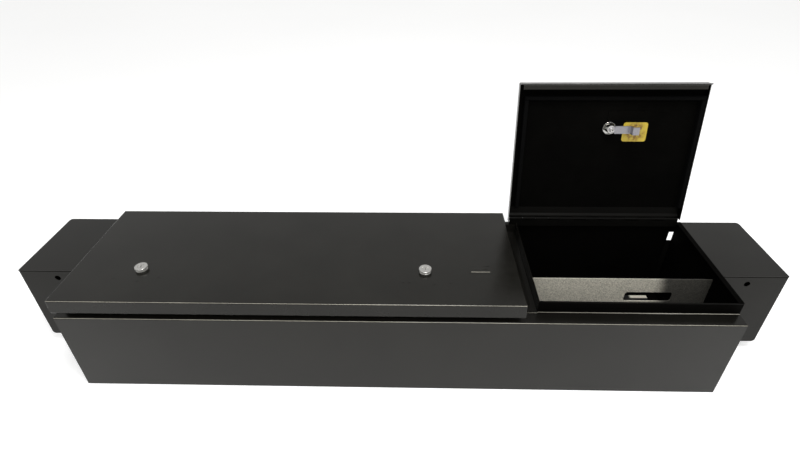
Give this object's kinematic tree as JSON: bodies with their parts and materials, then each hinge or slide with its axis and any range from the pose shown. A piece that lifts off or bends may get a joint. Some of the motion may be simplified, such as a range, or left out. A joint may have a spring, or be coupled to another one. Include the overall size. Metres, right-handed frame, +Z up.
{
  "type": "truck tool box",
  "caption": "Black steel truck bed tool box with separate hinged lids, key locks with turning cams, a drain channel between its bays and a mounting wing at each end.",
  "frame": {"origin": "middle of the body's flat bottom face", "axes": "+X to the right end seen from the front, +Y to the back where the hinges are, +Z up"},
  "size_m": [1.818, 0.4257, 0.6096],
  "materials": {
    "black_powder_coat": "satin black powder coat with a fine orange peel",
    "black_hinge": "satin black coated steel",
    "steel_pin": "plain drawn steel",
    "zinc_plate": "bright zinc plate",
    "chrome": "bright nickel chrome",
    "black_foam": "matt closed-cell foam rubber",
    "grey_textured_coat": "rough speckled light grey coat",
    "yellow_vinyl": "blank gloss yellow label"
  },
  "bodies": {
    "box": {"body_wrap": "black_powder_coat", "left_end_cap": "black_powder_coat", "right_end_cap": "black_powder_coat", "drain_channel": "black_powder_coat", "bay_partition": "black_powder_coat", "bay_divider": "grey_textured_coat", "divider_angles": "black_powder_coat", "left_wing_pan": "black_powder_coat", "left_wing_front": "black_powder_coat", "left_wing_top": "black_powder_coat", "right_wing_pan": "black_powder_coat", "right_wing_front": "black_powder_coat", "right_wing_top": "black_powder_coat", "left_hinge_body_leaf": "black_hinge", "left_hinge_pin": "steel_pin", "right_hinge_body_leaf": "black_hinge", "right_hinge_pin": "steel_pin", "left_strike_a": "zinc_plate", "left_strike_b": "zinc_plate", "right_strike": "zinc_plate"},
    "left_lid": {"left_lid_shell": "black_powder_coat", "left_hinge_lid_leaf": "black_hinge", "left_lid_seal": "black_foam", "left_lid_badge": "black_powder_coat", "lock_guard_a": "black_powder_coat", "lock_housing_a": "chrome", "lock_gasket_a": "black_foam", "lock_nut_a": "zinc_plate", "lock_guard_b": "black_powder_coat", "lock_housing_b": "chrome", "lock_gasket_b": "black_foam", "lock_nut_b": "zinc_plate"},
    "right_lid": {"right_lid_shell": "black_powder_coat", "right_hinge_lid_leaf": "black_hinge", "right_lid_seal": "black_foam", "right_lid_label": "yellow_vinyl", "lock_guard_c": "black_powder_coat", "lock_housing_c": "chrome", "lock_gasket_c": "black_foam", "lock_nut_c": "zinc_plate"},
    "lock_a": {"lock_plug_a": "zinc_plate", "lock_cam_a": "zinc_plate", "cam_screw_a": "zinc_plate"},
    "lock_b": {"lock_plug_b": "zinc_plate", "lock_cam_b": "zinc_plate", "cam_screw_b": "zinc_plate"},
    "lock_c": {"lock_plug_c": "zinc_plate", "lock_cam_c": "zinc_plate", "cam_screw_c": "zinc_plate"}
  },
  "joints": [
    {"name": "left_lid_hinge", "type": "hinge", "parent": "box", "child": "left_lid", "pos_m": [-0.235, 0.171, 0.2604], "axis": [-1, 0, 0], "range_deg": [0, 100.8]},
    {"name": "right_lid_hinge", "type": "hinge", "parent": "box", "child": "right_lid", "pos_m": [0.518, 0.171, 0.2604], "axis": [-1, 0, 0], "range_deg": [-100.8, 0]},
    {"name": "lock_a_turn", "type": "hinge", "parent": "left_lid", "child": "lock_a", "pos_m": [-0.587, -0.07, 0.27], "axis": [0, 0, 1], "range_deg": [-90, 0]},
    {"name": "lock_b_turn", "type": "hinge", "parent": "left_lid", "child": "lock_b", "pos_m": [0.0675, -0.07, 0.27], "axis": [0, 0, 1], "range_deg": [-90, 0]},
    {"name": "lock_c_turn", "type": "hinge", "parent": "right_lid", "child": "lock_c", "pos_m": [0.52375, 0.22559, 0.49533], "axis": [0, 0.9823, -0.1874], "range_deg": [-90, 0]}
  ]
}
